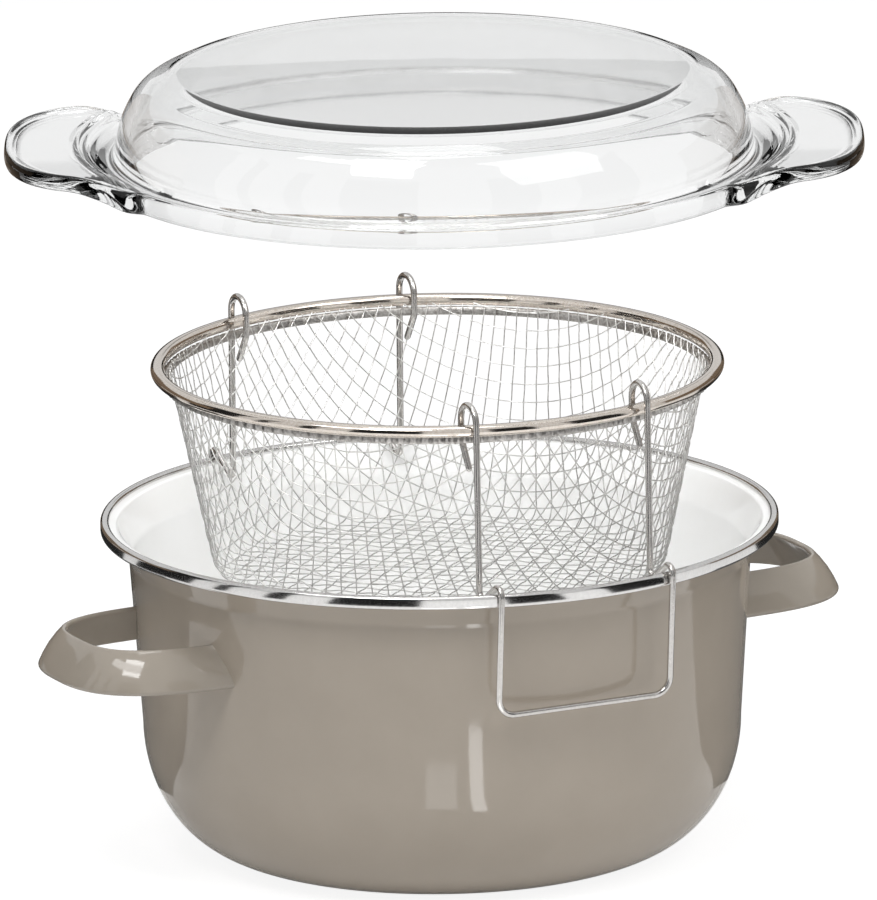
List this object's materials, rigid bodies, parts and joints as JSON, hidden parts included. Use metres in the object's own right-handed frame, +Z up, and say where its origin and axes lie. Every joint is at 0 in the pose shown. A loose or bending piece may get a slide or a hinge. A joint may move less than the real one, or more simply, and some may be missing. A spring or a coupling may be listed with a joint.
{
  "type": "deep fryer pot",
  "caption": "Round enamelled deep fryer pot with side loop handles, a wire frying basket hung raised on the rim by bent wire handles, and a clear glass lid lifted off above.",
  "frame": {"origin": "centre of the pot's flat base", "axes": "+Z up, +X to the right pot handle, -Y to the front"},
  "size_m": [0.3408, 0.27, 0.3169],
  "materials": {
    "pot_enamel": "glossy grey enamel outside and white enamel inside",
    "rim_band": "bright rolled band",
    "handle_enamel": "glossy grey enamel",
    "basket_ring": "bright rolled ring",
    "basket_clamp": "tinned band with the wire ends showing",
    "basket_wire": "tinned woven wire",
    "handle_wire": "plated bent wire",
    "lid_glass": "clear pressed glass"
  },
  "bodies": {
    "pot": {"pot_body": "pot_enamel", "pot_rim_band": "rim_band", "left_pot_handle": "handle_enamel", "right_pot_handle": "handle_enamel"},
    "basket": {"basket_rim": "basket_ring", "mesh_clamp_band": "basket_clamp", "basket_mesh": "basket_wire"},
    "front_handle": {"front_wire_handle": "handle_wire"},
    "rear_handle": {"rear_wire_handle": "handle_wire"},
    "lid": {"glass_lid": "lid_glass"}
  },
  "joints": [
    {"name": "basket_lift", "type": "slide", "parent": "pot", "child": "basket", "axis": [0, 0, 1], "range_m": [0, 0.05]},
    {"name": "front_handle_tip", "type": "hinge", "parent": "basket", "child": "front_handle", "pos_m": [0, -0.09982, 0.18995], "axis": [-1, 0, 0], "range_deg": [0, 12]},
    {"name": "rear_handle_tip", "type": "hinge", "parent": "basket", "child": "rear_handle", "pos_m": [0, 0.09982, 0.18995], "axis": [1, 0, 0], "range_deg": [0, 12]},
    {"name": "lid_lift", "type": "slide", "parent": "pot", "child": "lid", "axis": [0, 0, 1], "range_m": [0, 0.1]}
  ],
  "couplings": [
    {"joint": "front_handle_tip", "follows": "basket_lift", "rad_per_m": 4.18},
    {"joint": "rear_handle_tip", "follows": "basket_lift", "rad_per_m": 4.18}
  ]
}
